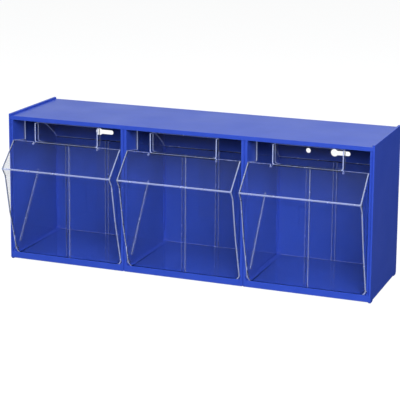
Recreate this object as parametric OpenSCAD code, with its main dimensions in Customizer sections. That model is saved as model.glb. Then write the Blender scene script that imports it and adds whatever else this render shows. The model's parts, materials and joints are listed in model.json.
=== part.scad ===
// Tilt-bin organizer: a blue housing that holds three clear bins, which tip forward.
// Millimetres. +X runs to the right, +Y to the back, +Z up.
// The origin is at the bottom centre of the whole object, beaks included.
// Inside the modules y = 0 is the housing's front plane, and place() moves it.

/* [Housing] */
// Width over the side panels
overall_w = 600; // [520:10:700]
// Height from the feet to the top ridges
overall_h = 240; // [240:1:244]
// Depth of the housing, without the bins' beaks
housing_d = 160; // [158:1:170]
// Width of a side panel's front jamb
side_jamb_w = 7; // [7:0.5:10]
// Width of a divider's front post
post_w = 10; // [9:0.5:14]
// Depth of the jambs and front posts
jamb_d = 38; // [34:1:44]
// Thickness of the panels
panel_t = 2.5; // [2:0.1:2.5]

/* [Bins] */
// How far the beak stands out of the housing
beak_out = 40; // [34:1:44]
// Wall thickness of a bin
bin_t = 2; // [1.6:0.1:2.4]
// Gap between a bin's side and the jamb beside it
bin_gap = 0.6; // [0.4:0.1:0.8]
// Height of the top edge of a bin's front
front_top_z = 198; // [190:1:204]
// Height of the beak's ridge
ridge_z = 159; // [150:1:166]
// Height of a bin's rear wall, whose top edge stops the bin at the top lip
rear_wall_z = 174; // [173:0.5:175]
// Width of the grip tab in the middle of a bin's front
tab_w = 110; // [80:1:130]

/* [Wall holes] */
// Distance between the two keyholes
keyhole_pitch = 410; // [390:1:420]
// Diameter of a keyhole's round end
keyhole_d = 12; // [10:0.5:14]
// Width of a keyhole's slot
keyhole_slot_w = 7.5; // [5:0.5:8]
// Length of a keyhole from end to end
keyhole_len = 32; // [24:1:36]
// Distance between the two round holes
round_hole_pitch = 304; // [280:1:320]
// Diameter of a round hole
round_hole_d = 8; // [5:0.5:10]

/* [Hidden] */
$fn = 64;

housing_blue = [0.17, 0.24, 0.74];
bin_clear = [0.86, 0.92, 0.98, 0.4];
eps = 0.01;

// Levels and planes of the housing
foot_h = 2;
foot_w = 4;
foot_len = 12;
foot_inset = 2;
ridge_h = 3;
ridge_w = 4;
body_top = overall_h - ridge_h;
ceiling_z = body_top - panel_t;
lip_t = 3;
top_lip_z = body_top - 6.5;
bottom_plate_z = foot_h + 5;
floor_z = bottom_plate_z + panel_t;
bottom_lip_z = foot_h + 10;
back_in_y = housing_d - panel_t;
side_x = overall_w / 2;
skin_x = side_x - panel_t;
jamb_in_x = side_x - side_jamb_w;

// The jambs and posts are hollow, with a groove down the front
jamb_skin_t = 2.5;
jamb_front_t = 4;
jamb_back_t = 3;
groove_w = 2;
groove_d = 2;
web_t = 3;

// Ribs that hold the edges of the webs
locate_h = 3;
locate_t = 1.5;
locate_gap = 5;

// The three bays between the jambs and posts
bay_w = (overall_w - 2 * side_jamb_w - 2 * post_w) / 3;
pitch = bay_w + post_w;

// Planes of a bin and its pivot
bin_w = bay_w - 2 * bin_gap;
bin_floor_z = floor_z + 0.5;
bin_back_y = back_in_y - 1.5;
foot_r = 7;
pivot = [8, bin_floor_z + foot_r];
pin_r = 2.5;
pin_clear = 0.05;
pin_len = bin_gap + jamb_skin_t;
lead_in_d = 1.2;

// The side walls end in an arc about the pivot that passes under the top lip
arc_r = top_lip_z - 0.7 - pivot[1];
arc_steps = 16;
ear_y = jamb_d;
ear_foot_z = front_top_z - 6;
bottom_corner_r = 9;
rear_corner_r = 5;
above = overall_h + 20;

// The front's outline, from the foot up to the top edge
front = [
    [4, bin_floor_z + 2],
    [-0.44 * beak_out, 84],
    [-0.775 * beak_out, ridge_z - 13],
    [-beak_out, ridge_z],
    [0, front_top_z]
];

// Grip tab: a ledge with an upright plate behind it and a flange at each end
tab_d = 10;
tab_t = 1.5;
tab_top_z = top_lip_z - 2.5;
tab_corner_r = 5;
slot_w = 2;
slot_depth = 3.5;

// A channel and a pair of ribs hold an optional partition, and each side wall has a radial rib
guide_t = 1.2;
guide_x = 2.1;
channel_y = 4.5;
channel_d = 4;
rear_rib_h = 2.5;
radial_rib_w = 4;
radial_rib_t = 0.8;
radial_rib_from = 12;
radial_rib_to = 136;
radial_rib_angle = 57;

hole_z = overall_h - 53;

// ---- helpers -------------------------------------------------------------

function unit(v) = v / norm(v);
function polar(r, a) = [r * cos(a), r * sin(a)];
function angle_of(v) = atan2(v[1], v[0]);

// The unit vector to the right of the way from a to b, which is a bin's inside
function right_of(a, b) = let (u = unit(b - a)) [u[1], -u[0]];

// Where the line a-b, moved t to its right, is at height z
function at_height(a, b, t, z) =
    let (p = a + t * right_of(a, b), v = b - a)
    p + v * (z - p[1]) / v[1];

// Where the lines a-b and b-c, both moved t to their right, cross
function moved_corner(a, b, c, t) =
    let (p = a + t * right_of(a, b), q = b + t * right_of(b, c), u = b - a, v = c - b)
    p + u * cross(q - p, v) / cross(u, v);

module place() {
    translate([0, -(housing_d - beak_out) / 2, 0]) children();
}

// A box from its two corners
module span(low, high) {
    translate(low) cube(high - low);
}

// A YZ outline extruded to both sides of x = 0
module along_x(width) {
    rotate([90, 0, 90]) linear_extrude(width, center = true) children();
}

// An XZ outline extruded from y_low to y_high
module along_y(y_low, y_high) {
    translate([0, y_high, 0]) rotate([90, 0, 0]) linear_extrude(y_high - y_low) children();
}

module both_sides() {
    children();
    mirror([1, 0, 0]) children();
}

// An outline as wide as width that rises from low to high, with round bottom corners
module round_bottom(width, low, high, r) {
    translate([-width / 2, low + r]) square([width, high - low - r]);
    translate([r - width / 2, low]) square([width - 2 * r, high - low]);
    for (side = [-1, 1]) translate([side * (width / 2 - r), low + r]) circle(r);
}

// ---- housing -------------------------------------------------------------

// The pivot hole and its lead-in, in a skin on the +X side of x = 0
module pivot_cut() {
    translate([-eps, pivot[0], pivot[1]])
        rotate([0, 90, 0]) cylinder(r = pin_r + pin_clear, h = jamb_skin_t + 2 * eps);
    span([-eps, -eps, pivot[1] - pin_r - pin_clear],
         [lead_in_d, pivot[0], pivot[1] + pin_r + pin_clear]);
}

// Pairs of ribs on both sides of a web, drawn for a web at x = 0
module locating_ribs(low, high) {
    both_sides() span([web_t / 2, low[0], low[1]], [web_t / 2 + locate_t, high[0], high[1]]);
}

module at_dividers() {
    for (side = [-1, 1]) translate([side * pitch / 2, 0, 0]) children();
}

module side_panel() {
    difference() {
        union() {
            span([skin_x, 0, foot_h], [side_x, housing_d, overall_h]);
            span([side_x - ridge_w, 0, body_top], [side_x, housing_d, overall_h]);
            span([jamb_in_x, 0, bottom_lip_z], [side_x, lip_t, top_lip_z]);
            span([jamb_in_x, lip_t, floor_z], [side_x, jamb_d, ceiling_z]);
            for (y = [foot_inset, housing_d - foot_inset - foot_len])
                span([side_x - foot_w, y, 0], [side_x, y + foot_len, foot_h]);
        }
        span([jamb_in_x + jamb_skin_t, jamb_front_t, floor_z - 1],
             [skin_x, jamb_d - jamb_back_t, ceiling_z + 1]);
        translate([(jamb_in_x + side_x) / 2 - groove_w / 2, -eps, bottom_lip_z])
            cube([groove_w, groove_d, top_lip_z - bottom_lip_z]);
        translate([jamb_in_x, 0, 0]) pivot_cut();
    }
}

module divider() {
    difference() {
        union() {
            span([-post_w / 2, 0, foot_h], [post_w / 2, lip_t, top_lip_z]);
            span([-post_w / 2, lip_t, floor_z], [post_w / 2, jamb_d, ceiling_z]);
            span([-web_t / 2, jamb_d - jamb_back_t, floor_z], [web_t / 2, back_in_y, ceiling_z]);
        }
        span([jamb_skin_t - post_w / 2, jamb_front_t, floor_z - 1],
             [post_w / 2 - jamb_skin_t, jamb_d - jamb_back_t, ceiling_z + 1]);
        span([-groove_w / 2, -eps, 0], [groove_w / 2, groove_d, overall_h]);
        both_sides() translate([-post_w / 2, 0, 0]) pivot_cut();
    }
}

module top_panel() {
    span([-skin_x, 0, ceiling_z], [skin_x, housing_d, body_top]);
    span([-skin_x, 0, top_lip_z], [skin_x, lip_t, body_top]);
    at_dividers() locating_ribs([jamb_d + locate_gap, ceiling_z - locate_h],
                                [back_in_y - locate_gap, ceiling_z + eps]);
}

module bottom_panel() {
    difference() {
        union() {
            span([-skin_x, 0, bottom_plate_z], [skin_x, back_in_y, floor_z]);
            span([-skin_x, 0, foot_h], [skin_x, lip_t, bottom_lip_z]);
            span([-skin_x, back_in_y - panel_t, foot_h], [skin_x, back_in_y, floor_z]);
        }
        at_dividers() span([-post_w / 2, -eps, 0], [post_w / 2, lip_t, bottom_lip_z + eps]);
    }
    at_dividers() locating_ribs([jamb_d + locate_gap, floor_z - eps],
                                [back_in_y - locate_gap, floor_z + locate_h]);
}

module keyhole() {
    slot_end = keyhole_len / 2 - keyhole_slot_w / 2;
    round_end = keyhole_d / 2 - keyhole_len / 2;
    translate([round_end, 0]) circle(d = keyhole_d);
    translate([slot_end, 0]) circle(d = keyhole_slot_w);
    translate([round_end, -keyhole_slot_w / 2]) square([slot_end - round_end, keyhole_slot_w]);
}

module back_panel() {
    difference() {
        span([-skin_x, back_in_y, foot_h], [skin_x, housing_d, ceiling_z]);
        along_y(back_in_y - 1, housing_d + 1) for (side = [-1, 1]) {
            translate([side * keyhole_pitch / 2, hole_z]) keyhole();
            translate([side * round_hole_pitch / 2, hole_z]) circle(d = round_hole_d);
        }
    }
    at_dividers() locating_ribs([back_in_y - locate_h, floor_z + 4 * locate_gap],
                                [back_in_y + eps, ceiling_z - 4 * locate_gap]);
}

// ---- bins ----------------------------------------------------------------

// The round foot runs about the pivot, from the front's outline to the floor
function foot_arc() =
    let (inward = right_of(front[0], front[1]),
         reach = (pivot - front[0]) * inward,
         start = angle_of(-inward) + 360 + acos(reach / foot_r))
    [for (i = [0:4]) pivot + polar(foot_r, 270 + (start - 270) * i / 4)];

function wall_arc() =
    let (from = acos((bin_back_y - pivot[0]) / arc_r), to = acos((ear_y - pivot[0]) / arc_r))
    [for (i = [0:arc_steps]) pivot + polar(arc_r, from + (to - from) * i / arc_steps)];

function side_outline() = concat(
    foot_arc(),
    [for (i = [1:4]) front[i]],
    [[ear_y, ear_foot_z]],
    [for (i = [arc_steps:-1:0]) wall_arc()[i]],
    [[bin_back_y, bin_floor_z]]
);

// The room inside walls of thickness t, open at the top
function inside_outline(t) = concat(
    [at_height(front[0], front[1], t, bin_floor_z + t)],
    [for (i = [1:3]) moved_corner(front[i - 1], front[i], front[i + 1], t)],
    [at_height(front[3], front[4], t, front_top_z)],
    [[at_height(front[3], front[4], t, front_top_z)[0], above]],
    [[bin_back_y - t, above], [bin_back_y - t, bin_floor_z + t]]
);

module bin_limits(t, top) {
    intersection() {
        along_y(-beak_out - 1, bin_back_y + 1)
            round_bottom(bin_w - 2 * t, bin_floor_z + t, top, bottom_corner_r - t);
        linear_extrude(top) rotate(180)
            round_bottom(bin_w - 2 * t, t - bin_back_y, beak_out + 1, rear_corner_r - t);
    }
}

module bin_shell() {
    difference() {
        intersection() {
            union() {
                along_x(bin_w) polygon(side_outline());
                span([-bin_w / 2, bin_back_y - bin_t - rear_corner_r, bin_floor_z],
                     [bin_w / 2, bin_back_y, arc_end_z()]);
                span([-bin_w / 2, bin_back_y - bin_t, bin_floor_z], [bin_w / 2, bin_back_y, rear_wall_z]);
            }
            bin_limits(0, rear_wall_z + above);
        }
        intersection() {
            along_x(bin_w) polygon(inside_outline(bin_t));
            bin_limits(bin_t, rear_wall_z + above);
        }
    }
}

function arc_end_z() = wall_arc()[0][1];

module grip_tab() {
    ledge_z = front_top_z - tab_t;
    along_y(0, tab_d) difference() {
        round_bottom(tab_w, ledge_z, tab_top_z, tab_corner_r);
        round_bottom(tab_w - 2 * tab_t, ledge_z + tab_t, tab_top_z + 1, tab_corner_r - tab_t);
    }
    along_y(tab_d - tab_t, tab_d) round_bottom(tab_w, ledge_z, tab_top_z, tab_corner_r);
}

module tab_slots() {
    both_sides() span([tab_w / 2, -tab_d, front_top_z - slot_depth],
                      [tab_w / 2 + slot_w, tab_d, front_top_z + 1]);
}

// Guides for a partition: an upright channel behind the front, from the floor to the grip
// tab's ledge, and a pair of ribs up the rear wall
module partition_guides() {
    inner_floor_z = bin_floor_z + bin_t - eps;
    both_sides() {
        span([guide_x, channel_y, inner_floor_z],
             [guide_x + guide_t, channel_y + channel_d, front_top_z - tab_t / 2]);
        span([guide_x, bin_back_y - bin_t - rear_rib_h, inner_floor_z],
             [guide_x + guide_t, bin_back_y - bin_t + eps, rear_wall_z - 1]);
    }
    span([-guide_x - eps, channel_y, inner_floor_z],
         [guide_x + eps, channel_y + guide_t, front_top_z - tab_t / 2]);
}

module radial_ribs() {
    both_sides() translate([bin_w / 2 - bin_t - radial_rib_t, pivot[0], pivot[1]])
        rotate([radial_rib_angle, 0, 0])
        span([0, radial_rib_from, -radial_rib_w / 2],
             [radial_rib_t + eps, radial_rib_to, radial_rib_w / 2]);
}

module pivot_pins() {
    both_sides() translate([bin_w / 2 - bin_t + eps, pivot[0], pivot[1]])
        rotate([0, 90, 0]) cylinder(r = pin_r, h = bin_t - eps + pin_len);
}

module bin() {
    difference() {
        bin_shell();
        tab_slots();
    }
    grip_tab();
    partition_guides();
    radial_ribs();
    pivot_pins();
}

// ---- nodes ---------------------------------------------------------------

module housing_piece() {
    color(housing_blue) place() children();
}

module divider_at(side) {
    housing_piece() translate([side * pitch / 2, 0, 0]) divider();
}

module bin_at(bay) {
    color(bin_clear) place() translate([bay * pitch, 0, 0]) bin();
}

housing_piece() mirror([1, 0, 0]) side_panel();  // side_panel_left
housing_piece() side_panel();  // side_panel_right
housing_piece() top_panel();
housing_piece() bottom_panel();
housing_piece() back_panel();
divider_at(-1);  // divider_left
divider_at(1);  // divider_right
bin_at(-1);  // bin_left
bin_at(0);  // bin_middle
bin_at(1);  // bin_right
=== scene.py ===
"""A tilt-bin organizer: a blue moulded housing with three clear bins.

Every piece is a copy of its CAD solid with its flat faces merged and its outer edges rounded,
so that it keeps the CAD size. The materials are procedural. Lengths are in metres.
"""
import json
import math

import bmesh
import bpy
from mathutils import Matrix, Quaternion, Vector
from mathutils.bvhtree import BVHTree


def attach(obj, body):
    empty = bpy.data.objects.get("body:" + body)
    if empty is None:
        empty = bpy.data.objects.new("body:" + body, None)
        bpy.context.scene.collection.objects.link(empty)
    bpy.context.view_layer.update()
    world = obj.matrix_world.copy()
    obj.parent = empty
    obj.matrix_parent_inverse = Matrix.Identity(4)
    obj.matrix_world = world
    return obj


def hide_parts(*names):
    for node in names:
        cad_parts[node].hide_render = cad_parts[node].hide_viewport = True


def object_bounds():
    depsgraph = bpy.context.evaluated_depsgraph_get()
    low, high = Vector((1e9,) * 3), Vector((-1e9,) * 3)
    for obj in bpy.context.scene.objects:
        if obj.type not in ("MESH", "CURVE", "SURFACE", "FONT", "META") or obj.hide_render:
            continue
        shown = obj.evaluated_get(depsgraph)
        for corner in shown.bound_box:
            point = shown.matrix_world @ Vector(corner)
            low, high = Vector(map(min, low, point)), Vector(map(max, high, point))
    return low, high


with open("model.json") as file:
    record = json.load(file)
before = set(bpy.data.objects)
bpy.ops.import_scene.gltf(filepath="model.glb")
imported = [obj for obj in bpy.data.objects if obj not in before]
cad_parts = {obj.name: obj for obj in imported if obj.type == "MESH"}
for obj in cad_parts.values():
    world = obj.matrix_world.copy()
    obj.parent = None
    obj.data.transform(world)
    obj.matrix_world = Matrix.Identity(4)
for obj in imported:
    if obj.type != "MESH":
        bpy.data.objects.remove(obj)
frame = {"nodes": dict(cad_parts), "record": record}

MM = 0.001

CAD_LOW, CAD_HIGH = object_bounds()
CENTRE = (CAD_LOW + CAD_HIGH) / 2

# ---- camera ----------------------------------------------------------------------------------

CAMERA_PLACE = Vector((0.799, -2.050, 0.6912))
CAMERA_AZIMUTH = math.radians(21.19)
CAMERA_ELEVATION = math.radians(10.73)
CAMERA_ROLL = math.radians(0.42)
SENSOR_MM = 36.0
FOCAL_WIDTHS = 3.598      # focal length in widths of the sensor
SHIFT_Y = -0.25
CLIP_NEAR = 0.05
CLIP_FAR = 50.0


def make_camera():
    data = bpy.data.cameras.new("camera")
    data.sensor_width = SENSOR_MM
    data.lens = FOCAL_WIDTHS * SENSOR_MM
    data.shift_y = SHIFT_Y
    data.clip_start = CLIP_NEAR
    data.clip_end = CLIP_FAR
    camera = bpy.data.objects.new("camera", data)
    bpy.context.scene.collection.objects.link(camera)
    forward = Vector((
        -math.sin(CAMERA_AZIMUTH) * math.cos(CAMERA_ELEVATION),
        math.cos(CAMERA_AZIMUTH) * math.cos(CAMERA_ELEVATION),
        -math.sin(CAMERA_ELEVATION),
    ))
    camera.rotation_mode = "QUATERNION"
    level = forward.to_track_quat("-Z", "Y")
    camera.rotation_quaternion = level @ Quaternion((0, 0, 1), CAMERA_ROLL)
    camera.location = CAMERA_PLACE
    bpy.context.scene.camera = camera


# ---- node helpers ----------------------------------------------------------------------------

NOISE_LOW = 0.3           # most of a noise's values lie between these two
NOISE_HIGH = 0.7


def node_tree(name):
    material = bpy.data.materials.new(name)
    material.use_nodes = True
    nodes = material.node_tree.nodes
    nodes.clear()
    return material, nodes, material.node_tree.links


def finish_material(nodes, links, shader):
    out = nodes.new("ShaderNodeOutputMaterial")
    links.new(shader.outputs[0], out.inputs["Surface"])


def add_math(nodes, links, operation, first, second):
    """One Math node. Each input is a socket or a number."""
    node = nodes.new("ShaderNodeMath")
    node.operation = operation
    for socket, value in zip(node.inputs, (first, second)):
        if isinstance(value, (int, float)):
            socket.default_value = value
        else:
            links.new(value, socket)
    return node.outputs[0]


def add_noise(nodes, links, place, scale, detail, roughness=0.5):
    noise = nodes.new("ShaderNodeTexNoise")
    noise.inputs["Scale"].default_value = scale
    noise.inputs["Detail"].default_value = detail
    noise.inputs["Roughness"].default_value = roughness
    links.new(place, noise.inputs["Vector"])
    return noise.outputs["Fac"]


def add_range(nodes, links, value, low, high, value_low=NOISE_LOW, value_high=NOISE_HIGH):
    """Maps value_low..value_high to low..high, and holds what lies outside at the ends."""
    spread = nodes.new("ShaderNodeMapRange")
    spread.inputs["From Min"].default_value = value_low
    spread.inputs["From Max"].default_value = value_high
    spread.inputs["To Min"].default_value = low
    spread.inputs["To Max"].default_value = high
    links.new(value, spread.inputs["Value"])
    return spread.outputs["Result"]


def add_bump(nodes, links, height, distance, strength, under=None):
    bump = nodes.new("ShaderNodeBump")
    bump.inputs["Distance"].default_value = distance
    bump.inputs["Strength"].default_value = strength
    links.new(height, bump.inputs["Height"])
    if under is not None:
        links.new(under, bump.inputs["Normal"])
    return bump.outputs["Normal"]


def add_shader_mix(nodes, links, share, first, second):
    """The first shader where share is 0, and the second where it is 1."""
    mix = nodes.new("ShaderNodeMixShader")
    links.new(share, mix.inputs[0])
    links.new(first.outputs[0], mix.inputs[1])
    links.new(second.outputs[0], mix.inputs[2])
    return mix


def add_bounced(nodes, links):
    """0 for what is seen straight or through clear walls, and 1 for scattered or mirrored light."""
    path = nodes.new("ShaderNodeLightPath").outputs
    bounces = add_math(nodes, links, "ADD", path["Diffuse Depth"], path["Glossy Depth"])
    return add_math(nodes, links, "MINIMUM", bounces, 1.0)


# ---- studio ----------------------------------------------------------------------------------

FLOOR_HALF = 8.0
FLOOR_GLOW = 0.90
FLOOR_SHADE = (0.20, 0.20, 0.205, 1.0)
FLOOR_BOUNCE = (0.050, 0.052, 0.058, 1.0)

SKY_DARK = 0.03
SKY_SEEN = 1.0
WHITE = (1.0, 1.0, 1.0, 1.0)
BACKDROP_WAY = (-0.42, 0.84, 0.34)
BACKDROP_EDGE = 0.62      # cosines of the angle from the backdrop's middle
BACKDROP_CORE = 0.92
BACKDROP_STRENGTH = 0.66
BACKDROP_TINT = (0.90, 1.0, 1.0, 1.0)
CEILING_EDGE = 0.60       # heights on the unit sphere
CEILING_CORE = 0.90
CEILING_STRENGTH = 0.20

BIN_PITCH = 198.7 * MM
INNER_PLACE = Vector((0.0, -40 * MM, 170 * MM))
INNER_AIM = Vector((0.0, 0.04, -0.18))
INNER_SIZE = (100 * MM, 20 * MM)
INNER_WATTS = 0.09


def make_floor():
    """A pale floor. It sends less light back at the object than it shows to the camera."""
    mesh = bpy.data.meshes.new("floor")
    corners = [(-1, -1), (1, -1), (1, 1), (-1, 1)]
    level = CAD_LOW.z
    mesh.from_pydata([(x * FLOOR_HALF, y * FLOOR_HALF, level) for x, y in corners], [], [(0, 1, 2, 3)])
    floor = bpy.data.objects.new("floor", mesh)
    bpy.context.scene.collection.objects.link(floor)
    material, nodes, links = node_tree("floor_paper")
    glow = nodes.new("ShaderNodeEmission")
    glow.inputs["Strength"].default_value = FLOOR_GLOW
    shade = nodes.new("ShaderNodeBsdfDiffuse")
    shade.inputs["Color"].default_value = FLOOR_SHADE
    pale = nodes.new("ShaderNodeAddShader")
    links.new(glow.outputs[0], pale.inputs[0])
    links.new(shade.outputs[0], pale.inputs[1])
    dim = nodes.new("ShaderNodeBsdfDiffuse")
    dim.inputs["Color"].default_value = FLOOR_BOUNCE
    finish_material(nodes, links, add_shader_mix(nodes, links, add_bounced(nodes, links), pale, dim))
    mesh.materials.append(material)


def make_world():
    """A dark studio: a pale backdrop behind on the left, and a dim ceiling. Seen straight, it is white."""
    world = bpy.data.worlds.new("studio")
    bpy.context.scene.world = world
    world.use_nodes = True
    nodes = world.node_tree.nodes
    links = world.node_tree.links
    nodes.clear()
    way = nodes.new("ShaderNodeTexCoord").outputs["Generated"]
    nearness = nodes.new("ShaderNodeVectorMath")
    nearness.operation = "DOT_PRODUCT"
    nearness.inputs[1].default_value = Vector(BACKDROP_WAY).normalized()
    links.new(way, nearness.inputs[0])
    backdrop = add_range(nodes, links, nearness.outputs["Value"], SKY_DARK, BACKDROP_STRENGTH,
                         BACKDROP_EDGE, BACKDROP_CORE)
    part = nodes.new("ShaderNodeSeparateXYZ")
    links.new(way, part.inputs[0])
    ceiling = add_range(nodes, links, part.outputs["Z"], 0.0, CEILING_STRENGTH,
                        CEILING_EDGE, CEILING_CORE)
    glow = add_math(nodes, links, "MAXIMUM", backdrop, ceiling)
    bounced = add_bounced(nodes, links)
    strength = nodes.new("ShaderNodeMix")
    strength.inputs["A"].default_value = SKY_SEEN
    links.new(bounced, strength.inputs["Factor"])
    links.new(glow, strength.inputs["B"])
    tint = nodes.new("ShaderNodeMix")
    tint.data_type = "RGBA"
    tint.inputs["A"].default_value = WHITE
    tint.inputs["B"].default_value = BACKDROP_TINT
    links.new(bounced, tint.inputs["Factor"])
    sky = nodes.new("ShaderNodeBackground")
    links.new(tint.outputs["Result"], sky.inputs["Color"])
    links.new(strength.outputs["Result"], sky.inputs["Strength"])
    out = nodes.new("ShaderNodeOutputWorld")
    links.new(sky.outputs[0], out.inputs["Surface"])


def make_lamp(name, place, aim, size, watts, is_mirrored):
    """A rectangular lamp that shines along aim.

    It shows in reflections and through clear walls only if is_mirrored is true.
    """
    data = bpy.data.lights.new(name, "AREA")
    data.shape = "RECTANGLE"
    data.size, data.size_y = size
    data.energy = watts
    lamp = bpy.data.objects.new(name, data)
    bpy.context.scene.collection.objects.link(lamp)
    lamp.location = place
    lamp.rotation_mode = "QUATERNION"
    lamp.rotation_quaternion = aim.to_track_quat("-Z", "Y")
    lamp.visible_glossy = is_mirrored
    lamp.visible_transmission = is_mirrored
    return lamp


def make_softbox(name, azimuth, elevation, distance, size, watts, is_mirrored=True):
    """A studio lamp aimed at the object. Azimuth 0 is in front, and it grows to the right."""
    across = math.radians(azimuth)
    up = math.radians(elevation)
    way = Vector((math.sin(across) * math.cos(up), -math.cos(across) * math.cos(up), math.sin(up)))
    make_lamp(name, CENTRE + way * distance, -way, size, watts, is_mirrored)


def make_inner_lamps():
    """They stand in for the light that the clear walls throw about in the bins."""
    for name, bay in (("inner_left", -1), ("inner_middle", 0), ("inner_right", 1)):
        place = INNER_PLACE + Vector((bay * BIN_PITCH, 0.0, 0.0))
        lamp = make_lamp(name, place, INNER_AIM, INNER_SIZE, INNER_WATTS, is_mirrored=False)
        lamp.visible_camera = False


def make_lights():
    """The key light is in two parts, and only the weaker one shows in reflections."""
    key = {"azimuth": 27.0, "elevation": 27.0, "distance": 2.6, "size": (2.2, 1.2)}
    make_softbox("key", watts=86.0, is_mirrored=False, **key)
    make_softbox("key_sheen", watts=24.0, **key)
    make_softbox("overhead", azimuth=140.0, elevation=65.0, distance=2.4, size=(1.2, 0.8), watts=15.0)
    make_softbox("fill", azimuth=-65.0, elevation=30.0, distance=2.8, size=(1.4, 1.0), watts=20.0)
    make_inner_lamps()


# ---- materials -------------------------------------------------------------------------------

BLUE_DEEP = (0.026, 0.066, 0.460, 1.0)
BLUE_PALE = (0.031, 0.075, 0.500, 1.0)
BLUE_ROUGHNESS = (0.32, 0.40)
BLUE_IOR = 1.49
SINK_DEPTH = 0.2 * MM
SINK_STRENGTH = 0.2
GRAIN_DEPTH = 0.02 * MM
GRAIN_STRENGTH = 0.4

CLEAR_IOR = 1.47
WALL_COLOUR = (0.980, 0.987, 0.993, 1.0)
WALL_ROUGHNESS = (0.01, 0.035)
WALL_SHADOW = (0.990, 0.992, 0.995, 1.0)
FLOW_DEPTH = 0.03 * MM
FLOW_STRENGTH = 0.1

# painted highlights on the clear edges: a pale, partly frosted rim colour and a rim glow that stand in for
# the light the walls carry
RIM_COLOUR = (0.60, 0.66, 0.88, 1.0)
RIM_CLEARNESS = 0.74
RIM_ROUGHNESS = (0.12, 0.30)
RIM_GLOW_COLOUR = (0.42, 0.52, 1.0, 1.0)
RIM_GLOW = 0.22


def make_blue_plastic():
    """Satin moulded plastic: fine spark grain, slow sink waves, and uneven gloss and shade."""
    material, nodes, links = node_tree("blue_plastic")
    place = nodes.new("ShaderNodeTexCoord").outputs["Object"]
    slow = add_noise(nodes, links, place, scale=9.0, detail=2.0)
    cloudy = add_noise(nodes, links, place, scale=45.0, detail=4.0, roughness=0.6)
    grain = add_noise(nodes, links, place, scale=1400.0, detail=2.0)
    shade = nodes.new("ShaderNodeMix")
    shade.data_type = "RGBA"
    shade.inputs["A"].default_value = BLUE_DEEP
    shade.inputs["B"].default_value = BLUE_PALE
    links.new(add_range(nodes, links, cloudy, 0.0, 1.0), shade.inputs["Factor"])
    skin = nodes.new("ShaderNodeBsdfPrincipled")
    links.new(shade.outputs["Result"], skin.inputs["Base Color"])
    links.new(add_range(nodes, links, slow, *BLUE_ROUGHNESS), skin.inputs["Roughness"])
    skin.inputs["IOR"].default_value = BLUE_IOR
    waves = add_bump(nodes, links, slow, SINK_DEPTH, SINK_STRENGTH)
    links.new(add_bump(nodes, links, grain, GRAIN_DEPTH, GRAIN_STRENGTH, waves), skin.inputs["Normal"])
    finish_material(nodes, links, skin)
    return material


def make_clear_plastic():
    """Clear glossy plastic with faint haze and flow waves. Lamps shine through it unbent."""
    material, nodes, links = node_tree("clear_plastic")
    place = nodes.new("ShaderNodeTexCoord").outputs["Object"]
    flow = add_noise(nodes, links, place, scale=14.0, detail=1.0)
    haze = add_noise(nodes, links, place, scale=60.0, detail=5.0, roughness=0.65)
    wall = nodes.new("ShaderNodeBsdfPrincipled")
    wall.inputs["Base Color"].default_value = WALL_COLOUR
    wall.inputs["Transmission Weight"].default_value = 1.0
    wall.inputs["IOR"].default_value = CLEAR_IOR
    links.new(add_range(nodes, links, haze, *WALL_ROUGHNESS), wall.inputs["Roughness"])
    links.new(add_bump(nodes, links, flow, FLOW_DEPTH, FLOW_STRENGTH), wall.inputs["Normal"])
    gap = nodes.new("ShaderNodeBsdfTransparent")
    gap.inputs["Color"].default_value = WALL_SHADOW
    path = nodes.new("ShaderNodeLightPath")
    finish_material(nodes, links, add_shader_mix(nodes, links, path.outputs["Is Shadow Ray"], wall, gap))
    return material


def make_clear_edge():
    """The edges of the clear walls. Their pale colour and their glow are painted highlights: they stand in
    for the light that the walls carry.
    """
    material, nodes, links = node_tree("clear_edge")
    place = nodes.new("ShaderNodeTexCoord").outputs["Object"]
    uneven = add_noise(nodes, links, place, scale=110.0, detail=3.0)
    rim = nodes.new("ShaderNodeBsdfPrincipled")
    rim.inputs["Base Color"].default_value = RIM_COLOUR
    rim.inputs["Transmission Weight"].default_value = RIM_CLEARNESS
    rim.inputs["IOR"].default_value = CLEAR_IOR
    rim.inputs["Emission Color"].default_value = RIM_GLOW_COLOUR
    rim.inputs["Emission Strength"].default_value = RIM_GLOW
    links.new(add_range(nodes, links, uneven, *RIM_ROUGHNESS), rim.inputs["Roughness"])
    finish_material(nodes, links, rim)
    return material


# ---- rounding --------------------------------------------------------------------------------

WELD = 0.002 * MM         # corners closer than this become one
FLAT_ANGLE = math.radians(0.6)
EDGE_ANGLE = math.radians(25.0)
HOUSING_ROUNDING = 0.45 * MM
BIN_ROUNDING = 0.5 * MM
ROUNDING_STEPS = 3
ROUNDING_PROFILE = 0.5    # a circular arc
ROUNDING_TRIES = 12
NARROW_ANGLE = math.radians(28.0)
ROOM = 2.2                # the least reach, square to a rounded edge, of those that meet it, in roundings
STRAY = 0.8               # a corner this far from the CAD surface is a fault, in roundings
SMALL_FACE = 4            # the most corners of a face that may have folded over
FOLDED = 0.2              # it has, if the cosine of its angle to the CAD surface is less than this
FLAT_WIDTH = 2.35 * MM    # a face wider than this is a flat, and a narrower one part of a curve
BLEND_ANGLE = math.radians(35.0)

WALL_SKIN = 0             # a piece's material slots
# on the clear pieces, the edge skin is the clear edge material with its painted highlights
EDGE_SKIN = 1


def is_sharp(edge):
    return len(edge.link_faces) == 2 and edge.calc_face_angle() > EDGE_ANGLE


def has_room(edge, corner, width):
    """Whether the edges beside this one at corner leave its rounding room to end."""
    way = (edge.other_vert(corner).co - corner.co).normalized()
    for face in edge.link_faces:
        for beside in face.edges:
            if beside is edge or corner not in beside.verts:
                continue
            other = beside.other_vert(corner).co - corner.co
            turn = way.angle(other)
            if turn < NARROW_ANGLE:
                return False
            carries_on = turn > math.pi - NARROW_ANGLE
            if not carries_on and other.length * math.sin(turn) < ROOM * width:
                return False
    return True


def takes_rounding(edge, width):
    if not (is_sharp(edge) and edge.is_convex):
        return False
    return all(has_room(edge, corner, width) for corner in edge.verts)


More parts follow.
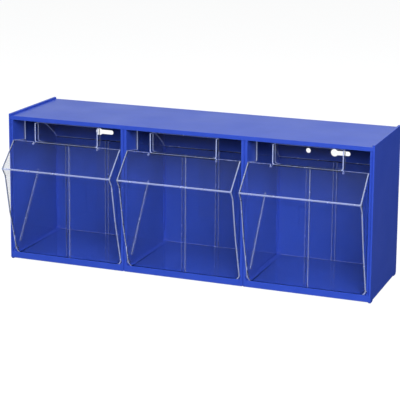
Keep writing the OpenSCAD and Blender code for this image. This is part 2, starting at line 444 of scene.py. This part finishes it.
def rounded(shape, chosen, width):
    """A copy of the shape with the chosen edges rounded."""
    trial = shape.copy()
    trial.edges.ensure_lookup_table()
    bmesh.ops.bevel(
        trial, geom=[trial.edges[index] for index in chosen], affect="EDGES",
        offset=width, offset_type="OFFSET", segments=ROUNDING_STEPS, profile=ROUNDING_PROFILE,
        clamp_overlap=False, loop_slide=True, material=EDGE_SKIN,
    )
    return trial


def faulty_places(trial, surface, width):
    """Where a rounding has left the CAD surface, or has folded over."""
    places = []
    for vert in trial.verts:
        if surface.find_nearest(vert.co)[3] > STRAY * width:
            places += [edge.other_vert(vert).co.copy() for edge in vert.link_edges]
            places.append(vert.co.copy())
    for face in trial.faces:
        middle = face.calc_center_median()
        _, normal, _, distance = surface.find_nearest(middle)
        is_folded = normal.dot(face.normal) < FOLDED and distance < width
        if len(face.verts) <= SMALL_FACE and is_folded:
            places.append(middle)
    return places


def edges_at(shape, places):
    """The indices of the edges that end at the corners nearest to the places."""
    found = set()
    for place in places:
        corner = min(shape.verts, key=lambda vert: (vert.co - place).length_squared)
        found |= {edge.index for edge in corner.link_edges}
    return found


def round_edges(shape, surface, width):
    """The shape with its outer edges rounded, apart from those whose rounding would be faulty."""
    chosen = {edge.index for edge in shape.edges if takes_rounding(edge, width)}
    trial = rounded(shape, chosen, width)
    for _ in range(ROUNDING_TRIES):
        dropped = edges_at(shape, faulty_places(trial, surface, width))
        if not dropped & chosen:
            break
        chosen -= dropped
        trial.free()
        trial = rounded(shape, chosen, width)
    return trial


def blend_normals(mesh):
    """Flats keep their own normal, and the narrow faces of a curve blend into those beside them."""
    sides = [(mesh.vertices[a].co - mesh.vertices[b].co).length for a, b in
             (edge.vertices for edge in mesh.edges)]
    around = [[] for _ in mesh.vertices]
    for face in mesh.polygons:
        for corner in face.vertices:
            around[corner].append(face)
    normals = []
    for face in mesh.polygons:
        outline = sum(sides[mesh.loops[index].edge_index] for index in face.loop_indices)
        length = outline / 2
        is_flat = not face.use_smooth or face.area > FLAT_WIDTH * length
        for corner in face.vertices:
            blend = face.normal.copy()
            if not is_flat:
                beside = [other for other in around[corner]
                          if other.normal.dot(face.normal) > math.cos(BLEND_ANGLE)]
                blend = sum((other.normal * other.area for other in beside), Vector())
            normals.append(blend.normalized())
    mesh.normals_split_custom_set(normals)


# ---- skins of the clear pieces ---------------------------------------------------------------

RAY_START = 0.05 * MM
THIN_WALL = 1.75 * MM     # behind a rounding, a wall thinner than this shows no painted edge highlight
END_GRAIN = 3.5 * MM      # behind a band, plastic deeper than this is a wall seen end on
BAND_WIDTH = 1.3 * MM
FACING = 0.5              # the least share of a pane's normal that points to the front or the rear
PANE_AREA = 1500 * MM * MM
RIM_WIDTH = 2.1 * MM
RIM_DEPTH = 8 * MM
RIB_LENGTH = 60 * MM
RIB_HEIGHT = 1 * MM


def is_deeper(face, surface, depth):
    """Whether the piece is more than depth thick behind this face."""
    inward = -face.normal
    start = face.calc_center_median() + inward * RAY_START
    return surface.ray_cast(start, inward, depth)[3] is None


def is_rib_side(face):
    """Whether this is a long narrow face between two sharp edges."""
    long_edges = [edge for edge in face.edges if edge.calc_length() > RIB_LENGTH]
    if len(long_edges) != 2 or not all(is_sharp(edge) for edge in long_edges):
        return False
    return face.calc_area() < RIB_HEIGHT * long_edges[0].calc_length()


def is_rim(face, surface):
    """Whether this is the narrow end face of a wall."""
    length = sum(edge.calc_length() for edge in face.edges) / 2
    return face.calc_area() < RIM_WIDTH * length and is_deeper(face, surface, RIM_DEPTH)


def is_pane(face):
    """Whether this is a large face towards the front or the rear."""
    return abs(face.normal.y) > FACING and face.calc_area() > PANE_AREA


def choose_skins(shape, surface):
    """The edge skin, with its painted highlight, goes on roundings, rib sides, rims and the bands behind
    which a wall runs on.
    """
    for face in shape.faces:
        if face.material_index == EDGE_SKIN and not is_deeper(face, surface, THIN_WALL):
            face.material_index = WALL_SKIN
        elif is_rib_side(face) or is_rim(face, surface):
            face.material_index = EDGE_SKIN
    panes = [face for face in shape.faces if is_pane(face)]
    bands = bmesh.ops.inset_individual(shape, faces=panes, thickness=BAND_WIDTH, use_even_offset=True)
    for face in bands["faces"]:
        face.smooth = False
        if is_deeper(face, surface, END_GRAIN):
            face.material_index = EDGE_SKIN


# ---- pieces ----------------------------------------------------------------------------------

def moulded_mesh(node, name, rounding, is_clear):
    """A copy of a CAD node's mesh, its triangles merged and its outer edges rounded."""
    shape = bmesh.new()
    shape.from_mesh(frame["nodes"][node].data)
    bmesh.ops.remove_doubles(shape, verts=shape.verts, dist=WELD)
    bmesh.ops.dissolve_limit(shape, angle_limit=FLAT_ANGLE, verts=shape.verts, edges=shape.edges)
    shape.verts.ensure_lookup_table()
    shape.edges.ensure_lookup_table()
    shape.edges.index_update()
    surface = BVHTree.FromBMesh(shape)
    moulding = round_edges(shape, surface, rounding)
    for face in moulding.faces:
        face.smooth = True
    if is_clear:
        choose_skins(moulding, surface)
    mesh = bpy.data.meshes.new(name)
    moulding.to_mesh(mesh)
    moulding.free()
    shape.free()
    blend_normals(mesh)
    return mesh


def make_piece(node, body, skins, rounding, is_clear):
    """skins are the materials of the piece's walls and of its edges."""
    name = "moulded_" + node
    mesh = moulded_mesh(node, name, rounding, is_clear)
    for skin in skins:
        mesh.materials.append(skin)
    piece = bpy.data.objects.new(name, mesh)
    bpy.context.scene.collection.objects.link(piece)
    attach(piece, body)
    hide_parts(node)


def make_organizer():
    blue = make_blue_plastic()
    blue_skins = (blue, blue)
    clear_skins = (make_clear_plastic(), make_clear_edge())
    bodies = frame["record"]["behaviour"]["bodies"]
    for body, nodes in bodies.items():
        for node in nodes:
            if body == "housing":
                make_piece(node, body, blue_skins, HOUSING_ROUNDING, is_clear=False)
            else:
                make_piece(node, body, clear_skins, BIN_ROUNDING, is_clear=True)


# ---- the whole scene -------------------------------------------------------------------------

BOUNCES = 24
CLEAR_SURFACES = 40       # the most clear surfaces that a lamp's light passes


def set_light_paths():
    """Enough bounces for several clear walls. Lamps shine through them by shadow rays alone."""
    cycles = bpy.context.scene.cycles
    cycles.caustics_reflective = False
    cycles.caustics_refractive = False
    cycles.max_bounces = BOUNCES
    cycles.transmission_bounces = BOUNCES
    cycles.transparent_max_bounces = CLEAR_SURFACES


make_camera()
make_floor()
make_world()
make_lights()
make_organizer()
set_light_paths()
bpy.context.scene.view_settings.view_transform = "Standard"
